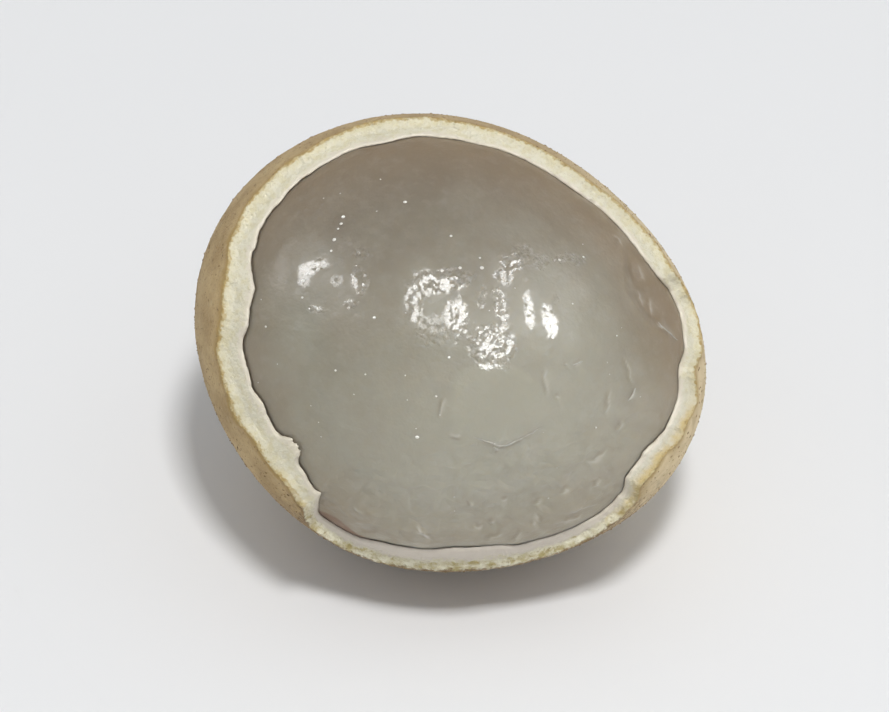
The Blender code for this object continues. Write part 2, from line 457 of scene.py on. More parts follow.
def kept_above_floor(mesh):
    for vertex in mesh.vertices:
        vertex.co.z = max(0.0, vertex.co.z)


def seen_at(column, row):
    """The place on the opening's face, right and up, where the picture shows a bit of the dome."""
    right = (column - FRUIT_IN_PICTURE[0]) * PIXEL
    up = (FRUIT_IN_PICTURE[1] - row) * PIXEL
    toward = math.sqrt(max(0.0, (11.2 * MM) ** 2 - right * right - up * up))
    nearer = 1.0 - toward / CAMERA_DISTANCE
    return Vector((right * nearer, up * nearer))


def side_of_line(spot, line):
    """Distance to a line of points, negative on its left, and the share of the way along it."""
    best, found = None, (1.0, 0.0)
    steps = len(line) - 1
    for k in range(steps):
        start, end = line[k], line[k + 1]
        way = end - start
        share = min(1.0, max(0.0, (spot - start).dot(way) / way.length_squared))
        apart = spot - (start + way * share)
        if best is None or apart.length < best:
            best = apart.length
            left = way.x * apart.y - way.y * apart.x > 0.0
            found = (-best if left else best, (k + share) / steps)
    return found


FOLD_ON_FACE = [seen_at(*pixel) for pixel in FOLD_LINE]
EDGES_ON_FACE = []
for _, line in MEMBRANE_EDGES:
    spots = [seen_at(*pixel) for pixel in line]
    rights, ups = [spot.x for spot in spots], [spot.y for spot in spots]
    EDGES_ON_FACE.append((spots, min(rights), max(rights), min(ups), max(ups)))
PATCHES_ON_FACE = [
    (seen_at(*middle), (wide * PIXEL, high * PIXEL), math.radians(turn), wet, puckered)
    for middle, (wide, high), turn, wet, puckered in WET_PATCHES
]


def gap_shade_share(angle, polar, lip):
    """1 on the narrow strip, low on the left beside the lip, that is painted with the shade of the gap
    there.
    """
    wide = GAP_SHADE_WIDTH * bell(angle, GAP_SHADE_AT, 8.0)
    return smooth_step(lip - wide, lip - wide + 1.5, polar) if wide > 1.0 else 0.0


def scar_share(point):
    """1 inside the scar's rounded, uneven polygon and 0 outside."""
    right, up = point.x - SCAR_CENTRE.x, point.y - SCAR_CENTRE.y
    turn = math.atan2(up, right)
    reach = 1.0 + 0.05 * math.cos(5.0 * turn + 0.6) + 0.05 * math.cos(3.0 * turn - 0.5)
    share = math.hypot(right / SCAR_SEMI_AXES[0], up / SCAR_SEMI_AXES[1]) / reach
    return 1.0 - smooth_step(0.84, 1.04, share)


def wet_and_puckered(point):
    """0 to 1 each: how wet the flesh is, and how finely puckered its skin."""
    spot = Vector((point.x, point.y))
    torn = 0.30 * noise.noise(point / (0.55 * MM)) + 0.22 * noise.noise(point / (0.22 * MM))
    wet, puckered = 0.0, 0.0
    for middle, (wide, high), turn, most_wet, most_puckered in PATCHES_ON_FACE:
        way = spot - middle
        along = way.x * math.cos(turn) + way.y * math.sin(turn)
        across = way.y * math.cos(turn) - way.x * math.sin(turn)
        share = 1.0 - smooth_step(0.72, 1.08, math.hypot(along / wide, across / high) + torn)
        wet = max(wet, most_wet * share)
        puckered = max(puckered, most_puckered * share)
    return wet, puckered


def flesh_relief(point, puckered):
    """How far the flesh stands out of its plain form in metres, and the painted light and shade of its
    membrane.
    """
    spot = Vector((point.x, point.y))
    # Heights are in millimetres until the last line
    out = 0.12 * fractal(point, 4.2 * MM, 1) + 0.030 * fractal(point, 1.5 * MM, 2)
    out += 0.006 * fractal(point, 0.40 * MM, 2)

    # The scar stands a little proud
    out += 0.028 * scar_share(point)

    # Beyond the fold the flesh is lower, and lies in narrow pleats along it
    away, along = side_of_line(spot, FOLD_ON_FACE)
    wander = 0.06 * MM * noise.noise(point / (0.8 * MM))
    beyond = smooth_step(0.05 * MM, -0.70 * MM, away + wander)
    worn = smooth_step(-0.35, 0.25, noise.noise(point / (1.5 * MM) + Vector((0, 9, 0))))
    out += 0.035 * worn * math.exp(-(((away + wander) / (0.14 * MM)) ** 2)) - FOLD_DROP * beyond
    pleat = noise.noise(Vector((away / (0.50 * MM), along * 4.0, 2.0)))
    out += 0.07 * beyond * pleat

    # Flakes of membrane end in a step and thin out behind it, with painted light on the edge and the flake,
    # and painted shadow at its foot
    shade = 0.0
    for line, left, right, bottom, top in EDGES_ON_FACE:
        if not (left - FLAKE < spot.x < right + FLAKE and bottom - FLAKE < spot.y < top + FLAKE):
            continue
        away, along = side_of_line(spot, line)
        away += 0.10 * MM * noise.noise(point / (0.35 * MM))
        ends = smooth_step(0.0, 0.4, along) * (1.0 - smooth_step(0.6, 1.0, along))
        falling = away / (-0.40 * MM) if away < 0.0 else (away / (0.09 * MM)) ** 2
        out += FLAKE_STEP * ends * math.exp(-falling)
        edge = math.exp(-(((away + 0.03 * MM) / (0.065 * MM)) ** 2))
        painted_foot_shadow = math.exp(-(((away - 0.10 * MM) / (0.070 * MM)) ** 2))
        shade += ends * (0.8 * edge - 0.7 * painted_foot_shadow)
        if away < 0.0:
            shade += 0.30 * ends * math.exp(-falling)

    # Low over the near edge the membrane sags in shallow dents between soft wrinkles, with painted light
    # and shade on the dents
    low = smooth_step(-3.4 * MM, -7.4 * MM, point.y - 0.25 * point.x)
    warp = noise.noise_vector(point / (1.7 * MM)) * 0.45
    cell = Vector((point.x / (1.5 * MM), point.y / (1.0 * MM), point.z / (3.0 * MM))) + warp
    nearest, _ = noise.voronoi(cell)
    dome = smooth_step(0.0, 0.5, nearest[1] - nearest[0])
    out -= 0.060 * low * dome
    shade += 0.55 * low * (dome - 0.55) * smooth_step(-0.3, 0.4, noise.noise(point / (1.2 * MM)))
    wrinkle = Vector((point.x * 0.6, point.y * 1.7, point.z)) / (0.9 * MM)
    out += 0.045 * low * noise.noise(wrinkle)
    out += 0.030 * low * fractal(point, 0.55 * MM, 2)

    # The wet skin is finely puckered
    out += (0.002 + 0.016 * puckered) * fractal(point + Vector((0, 0, 4)), 0.28 * MM, 2)
    return out * MM, shade


@functools.cache
def seat_polar(angle):
    """Where the flesh comes to lie against the rind: the lip's angle, evened out sideways."""
    near = [rim_bend(angle + aside)[1] for aside in range(-24, 25, 8)]
    return sum(near) / len(near)


def flesh_point(angle, polar, gap):
    # It lies against the rind from just above the lip, and swells a little before it
    lip, seat = rim_bend(angle)[1], seat_polar(angle)
    deep = gap + (FLESH_DOME_DEPTH - gap) * (1.0 - smooth_step(seat - 21.0, seat - 6.0, polar))
    swell = smooth_step(lip - 9.0, lip - 3.5, polar) * (1.0 - smooth_step(lip - 1.0, lip + 1.2, polar))
    deep -= (0.055 + 0.040 * ragged(angle, 45.0, 6.6)) * MM * swell
    point = fruit_point(angle, polar, RIND_THICKNESS + deep)
    if point.z > 0.0:
        point.z *= FLESH_DOME_SHARE
    return point


def flesh_spot(angle, polar, gap, shift):
    """A point of the flesh's surface, and its marks in the order of FLESH_MARKS."""
    lip = rim_bend(angle)[1]
    shown = 1.0 - smooth_step(lip - 12.0, lip - 1.0, polar)
    point = flesh_point(angle, polar, gap) + shift
    marked = polar < MARKS_END
    scar = scar_share(point) if marked else 0.0
    wet, puckered = wet_and_puckered(point) if marked else (0.0, 0.0)
    relief, shade = flesh_relief(point, puckered) if shown > 0.0 else (0.0, 0.0)
    specks = 1.0 if polar < SPECKS_END else 0.0
    marks = (scar, wet, puckered, specks, shade, gap_shade_share(angle, polar, lip))
    return point + point.normalized() * relief * shown, marks


def flesh_rings(gap):
    """Rings of the flesh, with the marks of each point."""
    # (start and end in degrees from the opening's axis, points in a ring, step in degrees): fine
    # where the flesh shows, and coarse where the rind hides it
    steps = (
        (0.0, 3.0, 48, 0.45), (3.0, 6.0, 96, 0.45), (6.0, 12.0, 192, 0.40), (12.0, 27.0, 384, 0.40),
        (27.0, 78.0, 768, 0.56), (78.0, 88.0, 384, 1.0), (88.0, 110.0, 192, 2.2),
        (110.0, 180.0, 96, 4.5),
    )
    rows = []
    for start, end, count, step in steps:
        parts = max(1, round((end - start) / step))
        rows += [(start + (end - start) * k / parts, count) for k in range(parts)]
    # Both poles are single points
    rows[0] = (0.0, 1)
    rows.append((180.0, 1))
    turn = FLESH_SHIFT_DIRECTION
    shift = Vector((math.cos(turn), math.sin(turn), 0.0)) * FLESH_SHIFT
    rings, marks = [], []
    for polar, count in rows:
        spots = [flesh_spot(360.0 * i / count, polar, gap, shift) for i in range(count)]
        rings.append([point for point, _ in spots])
        marks.append([numbers for _, numbers in spots])
    return rings, marks


# Node trees


def feed(tree, socket, value):
    """Gives a socket another node's output, or a plain number, vector or colour."""
    if isinstance(value, bpy.types.NodeSocket):
        tree.links.new(value, socket)
    elif value is not None:
        socket.default_value = (*value, 1.0) if socket.type == "RGBA" else value


def feed_all(tree, node, inputs):
    for key, value in inputs.items():
        feed(tree, node.inputs[key], value)


def add_node(tree, kind, inputs, **settings):
    """A new node with its settings, and its inputs by name or by number."""
    node = tree.nodes.new(kind)
    for name, value in settings.items():
        setattr(node, name, value)
    feed_all(tree, node, inputs)
    return node


def new_group(name, kind, inputs, outputs):
    """An empty node group with its inputs' sockets, and the node that its outputs go to."""
    tree = bpy.data.node_groups.new(name, kind)
    for label, socket_type, value in inputs:
        socket = tree.interface.new_socket(name=label, in_out="INPUT", socket_type=socket_type)
        if value is not None:
            socket.default_value = value
    for label, socket_type in outputs:
        tree.interface.new_socket(name=label, in_out="OUTPUT", socket_type=socket_type)
    return tree, tree.nodes.new("NodeGroupInput").outputs, tree.nodes.new("NodeGroupOutput")


def math_node(tree, operation, *values, clamp=False):
    inputs = dict(enumerate(values))
    return add_node(tree, "ShaderNodeMath", inputs, operation=operation, use_clamp=clamp).outputs[0]


def product(tree, *values):
    """Two values or more multiplied together."""
    return functools.reduce(lambda first, second: math_node(tree, "MULTIPLY", first, second), values)


def step_node(tree, value, low, high, to_low=0.0, to_high=1.0):
    """A soft step between two values, from one level to another."""
    inputs = {"Value": value, "From Min": low, "From Max": high, "To Min": to_low, "To Max": to_high}
    node = add_node(tree, "ShaderNodeMapRange", inputs, interpolation_type="SMOOTHSTEP")
    return node.outputs["Result"]


def noise_node(tree, vector, lump_size, detail=3.0, rough=0.55):
    inputs = {"Vector": vector, "Scale": 1.0 / lump_size, "Detail": detail, "Roughness": rough}
    return add_node(tree, "ShaderNodeTexNoise", inputs).outputs["Fac"]


# Materials

# Colours of the rind that no setting holds
BROWN_DOTS = (0.20, 0.115, 0.035)
PALE_DOTS = (0.62, 0.52, 0.32)
RED_SPOTS = (0.26, 0.12, 0.05)
GOLDEN_SKIN = (0.38, 0.245, 0.065)
NEAR_EDGE_BROWN_AND_SHADE = (0.130, 0.075, 0.032)
PALE_CRUST = (0.52, 0.42, 0.22)
PALE_OLIVE = (0.72, 0.685, 0.53)
DEEP_OLIVE = (0.40, 0.325, 0.13)
OLIVE_SPECKS = (0.22, 0.15, 0.055)
OUTERMOST_SHADE_BROWN = (0.19, 0.115, 0.045)
PITH_PORES = (0.42, 0.36, 0.22)
YELLOW_PITH = (0.66, 0.58, 0.32)
GREY_PITH = (0.57, 0.545, 0.46)
GOLDEN_PITH = (0.52, 0.38, 0.13)
PALE_INNER_SKIN = (0.66, 0.60, 0.47)
PINK_INNER_SKIN = (0.57, 0.51, 0.43)
WALL_GAP_SHADE = (0.46, 0.25, 0.15)

# Colours of the flesh, its membrane and its juice that no setting holds
PALE_FLECKS_AND_FACET_LIGHT = (0.45, 0.425, 0.370)
SCAR_COLOUR = (0.425, 0.412, 0.335)
FLAKE_EDGE_PAINTED_LIGHT = (0.58, 0.55, 0.49)
FLAKE_FOOT_PAINTED_SHADOW = (0.185, 0.150, 0.110)
GAP_SHADE_COLOUR = (0.185, 0.100, 0.070)
MILKY_SHEEN_COLOUR = (0.60, 0.58, 0.54)
VEIN_COLOUR = (0.45, 0.43, 0.37)
DEEP_MEMBRANE = (0.37, 0.345, 0.285)
PALE_MEMBRANE = (0.49, 0.465, 0.405)
DEEP_JUICE = (0.62, 0.59, 0.53)
PALE_JUICE = (0.78, 0.76, 0.72)


def mix_colour(tree, share, first, second):
    inputs = {0: share, 6: first, 7: second}
    return add_node(tree, "ShaderNodeMix", inputs, data_type="RGBA").outputs[2]


def tinted(tree, colour, mask, strength, tint):
    """The colour, turned towards the tint by the mask times the strength."""
    return mix_colour(tree, math_node(tree, "MULTIPLY", mask, strength), colour, tint)


def mottle_group():
    """A mask of soft, uneven blotches; Spread sets how much of the surface they cover."""
    tree, given, result = new_group(
        "Mottle",
        "ShaderNodeTree",
        (
            ("Vector", "NodeSocketVector", None),
            ("Blotches per Metre", "NodeSocketFloat", 500.0),
            ("Spread", "NodeSocketFloat", 0.5),
            ("Softness", "NodeSocketFloat", 0.15),
        ),
        (("Mask", "NodeSocketFloat"),),
    )
    inputs = {"Vector": given["Vector"], "Scale": given["Blotches per Metre"]}
    field = add_node(tree, "ShaderNodeTexNoise", {**inputs, "Detail": 4.0, "Roughness": 0.6})
    level = math_node(tree, "SUBTRACT", 1.0, given["Spread"])
    low = math_node(tree, "SUBTRACT", level, given["Softness"])
    high = math_node(tree, "ADD", level, given["Softness"])
    feed(tree, result.inputs["Mask"], step_node(tree, field.outputs["Fac"], low, high))
    return tree


def pebble_group():
    """A height made of rounded cells with finer grain over them."""
    tree, given, result = new_group(
        "Pebble",
        "ShaderNodeTree",
        (
            ("Vector", "NodeSocketVector", None),
            ("Cells per Metre", "NodeSocketFloat", 3000.0),
            ("Grain", "NodeSocketFloat", 0.4),
        ),
        (("Height", "NodeSocketFloat"),),
    )
    inputs = {"Vector": given["Vector"], "Scale": given["Cells per Metre"]}
    cells = add_node(tree, "ShaderNodeTexVoronoi", inputs, feature="F1")
    finer = math_node(tree, "MULTIPLY", given["Cells per Metre"], 1.7)
    inputs = {"Vector": given["Vector"], "Scale": finer, "Detail": 3.0}
    grain = add_node(tree, "ShaderNodeTexNoise", inputs)
    domes = math_node(tree, "SUBTRACT", 1.0, cells.outputs["Distance"])
    rough = math_node(tree, "MULTIPLY", grain.outputs["Fac"], given["Grain"])
    feed(tree, result.inputs["Height"], math_node(tree, "ADD", domes, rough))
    return tree


def blotches(tree, place, per_metre, spread, softness):
    """The Mottle group placed in a material, with its own values."""
    group = bpy.data.node_groups.get("Mottle") or mottle_group()
    inputs = {"Vector": place, "Blotches per Metre": per_metre, "Spread": spread, "Softness": softness}
    return add_node(tree, "ShaderNodeGroup", inputs, node_tree=group).outputs["Mask"]


def pebbles(tree, place, per_metre, grain):
    """The Pebble group placed in a material, with its own values."""
    group = bpy.data.node_groups.get("Pebble") or pebble_group()
    inputs = {"Vector": place, "Cells per Metre": per_metre, "Grain": grain}
    return add_node(tree, "ShaderNodeGroup", inputs, node_tree=group).outputs["Height"]


def new_material(name):
    material = bpy.data.materials.new(name)
    material.use_nodes = True
    tree = material.node_tree
    place = tree.nodes.new("ShaderNodeTexCoord").outputs["Object"]
    return material, tree, tree.nodes["Principled BSDF"], place


def in_fruit_frame(tree, place):
    """Object coordinates in the fruit's own frame: right, up the face, and out of it."""
    inputs = {"Vector": place, "Location": FRUIT_CENTRE, "Rotation": (OPENING_LEAN, 0.0, 0.0)}
    turned = add_node(tree, "ShaderNodeMapping", inputs, vector_type="TEXTURE")
    split = add_node(tree, "ShaderNodeSeparateXYZ", {"Vector": turned.outputs["Vector"]})
    return split.outputs["X"], split.outputs["Y"], split.outputs["Z"]


def attribute_value(tree, name):
    return add_node(tree, "ShaderNodeAttribute", {}, attribute_name=name).outputs["Fac"]


def add_bump(tree, shader, height, depth, normal=None):
    inputs = {"Strength": 1.0, "Distance": depth, "Height": height, "Normal": normal}
    bumped = add_node(tree, "ShaderNodeBump", inputs).outputs["Normal"]
    feed(tree, shader.inputs["Normal"], bumped)
    return bumped


def rind_material(look):
    """Skin, crust, pith and inner skin, each where the layer attribute says."""
    material, tree, shader, place = new_material("longan_rind")
    layer = attribute_value(tree, "layer")
    right, up, _ = in_fruit_frame(tree, place)
    wander = math_node(tree, "SUBTRACT", noise_node(tree, place, 0.22 * MM, 4.0), 0.5)
    broad = math_node(tree, "SUBTRACT", noise_node(tree, place, 0.9 * MM, 2.0), 0.5)
    uneven = math_node(tree, "MULTIPLY_ADD", wander, 0.40, layer)
    uneven = math_node(tree, "MULTIPLY_ADD", broad, 0.30, uneven)

    # Skin: tan, with browner patches, fine brown and pale dots, and a few reddish spots
    patches = blotches(tree, place, 420.0, 0.48, 0.22)
    skin = mix_colour(tree, patches, tuple(look.skin_colour), tuple(look.skin_shade))
    skin = tinted(tree, skin, blotches(tree, place, 5200.0, 0.40, 0.10), 0.42, BROWN_DOTS)
    skin = tinted(tree, skin, blotches(tree, place, 2600.0, 0.36, 0.08), 0.30, PALE_DOTS)
    skin = tinted(tree, skin, blotches(tree, place, 900.0, 0.27, 0.03), 0.55, RED_SPOTS)
    # The skin is paler towards the right, in blotches
    paler_right = step_node(tree, right, 0.0030, 0.0105, 0.0, 0.85)
    patchy = step_node(tree, noise_node(tree, place, 1.6 * MM), 0.30, 0.60, 0.45, 1.0)
    skin = tinted(tree, skin, paler_right, patchy, tuple(look.right_skin_colour))
    # Next to the crust it is golden, and round the near, lower edge dark brown: partly the skin's own
    # browner tone, partly painted shade under the fruit
    near = math_node(tree, "MULTIPLY_ADD", broad, 0.004, up)
    near = step_node(tree, near, -0.0060, -0.0096)
    beside = step_node(tree, math_node(tree, "MULTIPLY_ADD", broad, 0.9, layer), -0.62, -0.10)
    skin = tinted(tree, skin, beside, 0.80, GOLDEN_SKIN)
    browned_and_shaded = step_node(tree, wander, -0.10, 0.06, 0.95, 0.35)
    skin = tinted(tree, skin, near, browned_and_shaded, NEAR_EDGE_BROWN_AND_SHADE)

    # Crust: an ochre-brown line that widens and greens towards the near edge
    limit = math_node(tree, "MULTIPLY_ADD", near, 0.38, 0.12)
    pith_share = step_node(tree, math_node(tree, "SUBTRACT", uneven, limit), -0.05, 0.07)
    patches = blotches(tree, place, 3600.0, 0.50, 0.12)
    crust = mix_colour(tree, patches, tuple(look.crust_colour), PALE_CRUST)
    patches = blotches(tree, place, 1900.0, 0.46, 0.16)
    olive = mix_colour(tree, patches, PALE_OLIVE, DEEP_OLIVE)
    olive = tinted(tree, olive, blotches(tree, place, 4200.0, 0.36, 0.06), 0.65, OLIVE_SPECKS)
    # Its outermost line round the near edge is darkened brown: painted shade where the rind turns under
    outer_painted_shade = step_node(tree, uneven, 0.14, 0.03, 0.0, 0.85)
    olive = tinted(tree, olive, near, outer_painted_shade, OUTERMOST_SHADE_BROWN)
    crust = mix_colour(tree, near, crust, olive)

    # Pith: cream, with yellower crumbs and small shadowed pores
    patches = blotches(tree, place, 2600.0, 0.46, 0.14)
    pith = mix_colour(tree, patches, tuple(look.pith_colour), tuple(look.pith_shade))
    pith = tinted(tree, pith, blotches(tree, place, 7000.0, 0.36, 0.07), 0.35, PITH_PORES)
    # It yellows towards the crust, most of all low on the right
    low_right = product(
        tree, step_node(tree, right, 0.0045, 0.0085), step_node(tree, up, -0.0010, -0.0040)
    )
    golden = blotches(tree, place, 800.0, 0.55, 0.18)
    golden = product(tree, golden, step_node(tree, uneven, 0.75, 0.15), low_right)
    pith = tinted(tree, pith, step_node(tree, uneven, 0.55, 0.10), 0.35, YELLOW_PITH)
    pith = tinted(tree, pith, low_right, 0.60, GREY_PITH)
    pith = tinted(tree, pith, golden, 0.85, GOLDEN_PITH)

    # Inner skin: smooth and moist, greyish pink and darker towards the near edge
    patches = blotches(tree, place, 900.0, 0.50, 0.20)
    inner = mix_colour(tree, patches, tuple(look.membrane_colour), PALE_INNER_SKIN)
    start = math_node(tree, "MULTIPLY_ADD", near, 0.18, uneven)
    inner_share = step_node(tree, start, 0.68, 0.82)
    inner = mix_colour(tree, near, inner, PINK_INNER_SKIN)
    # Below the lip the inner wall, seen only in the gap against the flesh, is dark brown: painted shade in
    # that gap
    inner = mix_colour(tree, step_node(tree, layer, 1.02, 1.20), inner, WALL_GAP_SHADE)

    colour = mix_colour(tree, step_node(tree, uneven, -0.06, 0.02), skin, crust)
    colour = mix_colour(tree, pith_share, colour, pith)
    colour = mix_colour(tree, inner_share, colour, inner)
    moist = math_node(tree, "MULTIPLY", inner_share, -0.30)
    roughness = math_node(tree, "ADD", 0.82, moist)
    feed_all(tree, shader, {"Base Color": colour, "Roughness": roughness})
    matt = math_node(tree, "SUBTRACT", 1.0, math_node(tree, "MULTIPLY", inner_share, 0.75))
    fine = pebbles(tree, place, 6500.0, 1.2)
    add_bump(tree, shader, math_node(tree, "MULTIPLY", fine, matt), 0.035 * MM)
    return material


def grain_material(look):
    """The skin's tiny dry scales, from ochre to dark brown."""
    material, tree, shader, place = new_material("longan_skin_grains")
    patches = blotches(tree, place, 1500.0, 0.50, 0.20)
    colour = mix_colour(tree, patches, tuple(look.grain_colour), tuple(look.grain_shade))
    roughness = step_node(tree, noise_node(tree, place, 0.15 * MM), 0.3, 0.7, 0.70, 0.95)
    feed_all(tree, shader, {"Base Color": colour, "Roughness": roughness})
    add_bump(tree, shader, noise_node(tree, place, 0.05 * MM), 0.01 * MM)
    return material


def flesh_material(look):
    """Wet, translucent flesh: cloudy grey-beige, with a paler scar and pinker edges, and painted shade and
    light over it.
    """
    material, tree, shader, place = new_material("longan_flesh")
    right, up, out = in_fruit_frame(tree, place)

    cloudy = blotches(tree, place, 210.0, 0.50, 0.22)
    colour = mix_colour(tree, cloudy, tuple(look.flesh_colour), tuple(look.flesh_cloud))
    # Painted shade darkens the far, upper side and painted light pales the near, lower side, standing in
    # for light passing through the translucent flesh
    uneven = math_node(tree, "MULTIPLY_ADD", noise_node(tree, place, 3.0 * MM), 0.006, up)
    far = step_node(tree, uneven, 0.000, 0.0125)
    colour = tinted(tree, colour, far, 0.85, tuple(look.flesh_painted_shade))
    lower = math_node(tree, "MULTIPLY_ADD", right, -0.55, uneven)
    right_up = product(
        tree, step_node(tree, right, 0.0045, 0.0105, 0.0, 0.9), step_node(tree, up, -0.0060, 0.0010)
    )
    pale = product(
        tree,
        step_node(tree, lower, 0.0105, -0.0050),
        math_node(tree, "SUBTRACT", 1.0, right_up),
        step_node(tree, right, -0.0090, -0.0010, 0.3, 1.0),
    )
    colour = mix_colour(tree, pale, colour, tuple(look.flesh_pale))
    # Pale flecks low on the near side: partly cloudy membrane, partly painted light on facets that the
    # relief barely shows
    facet_light_flecks = blotches(tree, place, 560.0, 0.50, 0.10)
    shown = step_node(tree, lower, -0.0010, -0.0070, 0.08, 0.30)
    colour = tinted(tree, colour, facet_light_flecks, shown, PALE_FLECKS_AND_FACET_LIGHT)
    # Beside the rind the flesh turns pinkish brown and darker: partly its own tint, partly painted shade
    # where it meets the rind
    rim = step_node(tree, out, 0.0085, 0.0030)
    shown = step_node(tree, pale, 0.0, 1.0, 0.88, 0.42)
    colour = tinted(tree, colour, rim, shown, tuple(look.flesh_edge))

    # The scar, painted light on the membrane's lifted edges and painted shadow at their feet, and the
    # painted shade of the gap beside the lip
    colour = tinted(tree, colour, attribute_value(tree, "scar"), 0.32, SCAR_COLOUR)
    flake_shading = attribute_value(tree, "flake_shading")
    painted_edge_light = math_node(tree, "MULTIPLY", flake_shading, 0.40, clamp=True)
    colour = mix_colour(tree, painted_edge_light, colour, FLAKE_EDGE_PAINTED_LIGHT)
    painted_foot_shadow = math_node(tree, "MULTIPLY", flake_shading, -0.42, clamp=True)
    colour = mix_colour(tree, painted_foot_shadow, colour, FLAKE_FOOT_PAINTED_SHADOW)
    colour = tinted(tree, colour, attribute_value(tree, "raw"), 0.80, GAP_SHADE_COLOUR)
    wet = attribute_value(tree, "wet")
    # Milky blotches pale the wet, glossy patches: painted sheen
    sheen_blotches = blotches(tree, place, 3800.0, 0.45, 0.10)
    painted_sheen_share = math_node(tree, "MULTIPLY", wet, 0.30)
    colour = tinted(tree, colour, sheen_blotches, painted_sheen_share, MILKY_SHEEN_COLOUR)
    veins = blotches(tree, place, 1600.0, 0.40, 0.12)
    colour = tinted(tree, colour, veins, 0.10, VEIN_COLOUR)

    smear = noise_node(tree, place, 0.8 * MM, 2.0)
    film = step_node(tree, smear, 0.75, 0.30, 0.0, 0.02)
    feed_all(tree, shader, {
        "Base Color": colour,
        "Roughness": step_node(tree, smear, 0.35, 0.7, 0.30, 0.44),
        "IOR": 1.33,
        "Specular IOR Level": 0.25,
        "Subsurface Weight": look.translucency,
        "Subsurface Radius": FLESH_SUBSURFACE,
        "Subsurface Scale": look.light_reach,
        "Coat Weight": math_node(tree, "MAXIMUM", film, wet),
        "Coat Roughness": 0.09,
        "Coat IOR": 1.42,
    })

    strength = math_node(tree, "MULTIPLY_ADD", attribute_value(tree, "pucker"), 0.85, 0.15)
    # Bumps are heights above or below their mean, so that a patch has no step at its edge
    normal = None
    for per_metre, grain, mean, share in ((3300.0, 0.7, 0.83, 1.0), (7200.0, 0.6, 0.78, 0.50)):
        height = math_node(tree, "SUBTRACT", pebbles(tree, place, per_metre, grain), mean)
        height = math_node(tree, "MULTIPLY", height, strength)
        normal = add_bump(tree, shader, height, look.pebble_depth * share, normal)
    return material


def membrane_material():
    """Lifted edges of the thin skin on the flesh, paler than the flesh under them."""
    material, tree, shader, place = new_material("longan_membrane_edge")
    patchy = blotches(tree, place, 2400.0, 0.45, 0.20)
    feed_all(tree, shader, {
        "Base Color": mix_colour(tree, patchy, DEEP_MEMBRANE, PALE_MEMBRANE),
        "Roughness": step_node(tree, patchy, 0.0, 1.0, 0.42, 0.26),
        "Subsurface Weight": 0.5,
        "Subsurface Radius": FLESH_SUBSURFACE,
        "Subsurface Scale": 0.4 * MM,
    })
    add_bump(tree, shader, noise_node(tree, place, 0.08 * MM), 0.01 * MM)
    return material


def bead_material():
    """Small drops of juice on the flesh."""
    material, tree, shader, place = new_material("longan_juice_beads")
    cloud, smear = noise_node(tree, place, 0.5 * MM), noise_node(tree, place, 0.2 * MM)
    feed_all(tree, shader, {
        "Base Color": mix_colour(tree, cloud, DEEP_JUICE, PALE_JUICE),
        "Roughness": step_node(tree, smear, 0.3, 0.7, 0.05, 0.14),
        "IOR": 1.36,
        "Coat Weight": 1.0,
        "Coat Roughness": 0.04,
    })
    return material


def floor_material(look):
    material, tree, shader, place = new_material("pale_table")
    uneven = noise_node(tree, place, 40.0 * MM, 2.0)
    light = tuple(look.floor_colour)
    colour = mix_colour(tree, uneven, light, tuple(0.985 * c for c in light))
    roughness = step_node(tree, uneven, 0.3, 0.7, 0.48, 0.56)
    feed_all(tree, shader, {"Base Color": colour, "Roughness": roughness})
    return material


# Scatter and ridges


def plain_mesh(name, data, tree, **values):
    """What the node tree makes of some mesh or curve, as a plain mesh."""
    holder = linked_object(name + "_holder", data)
    modifier = holder.modifiers.new(tree.name, "NODES")
    modifier.node_group = tree
    for item in tree.interface.items_tree:
        if item.in_out == "INPUT" and item.name.replace(" ", "_") in values:
            modifier[item.identifier] = values[item.name.replace(" ", "_")]
    graph = bpy.context.evaluated_depsgraph_get()
    mesh = bpy.data.meshes.new_from_object(holder.evaluated_get(graph))
    mesh.name = name
    holder.modifiers.clear()
    bpy.data.objects.remove(holder)
    return mesh


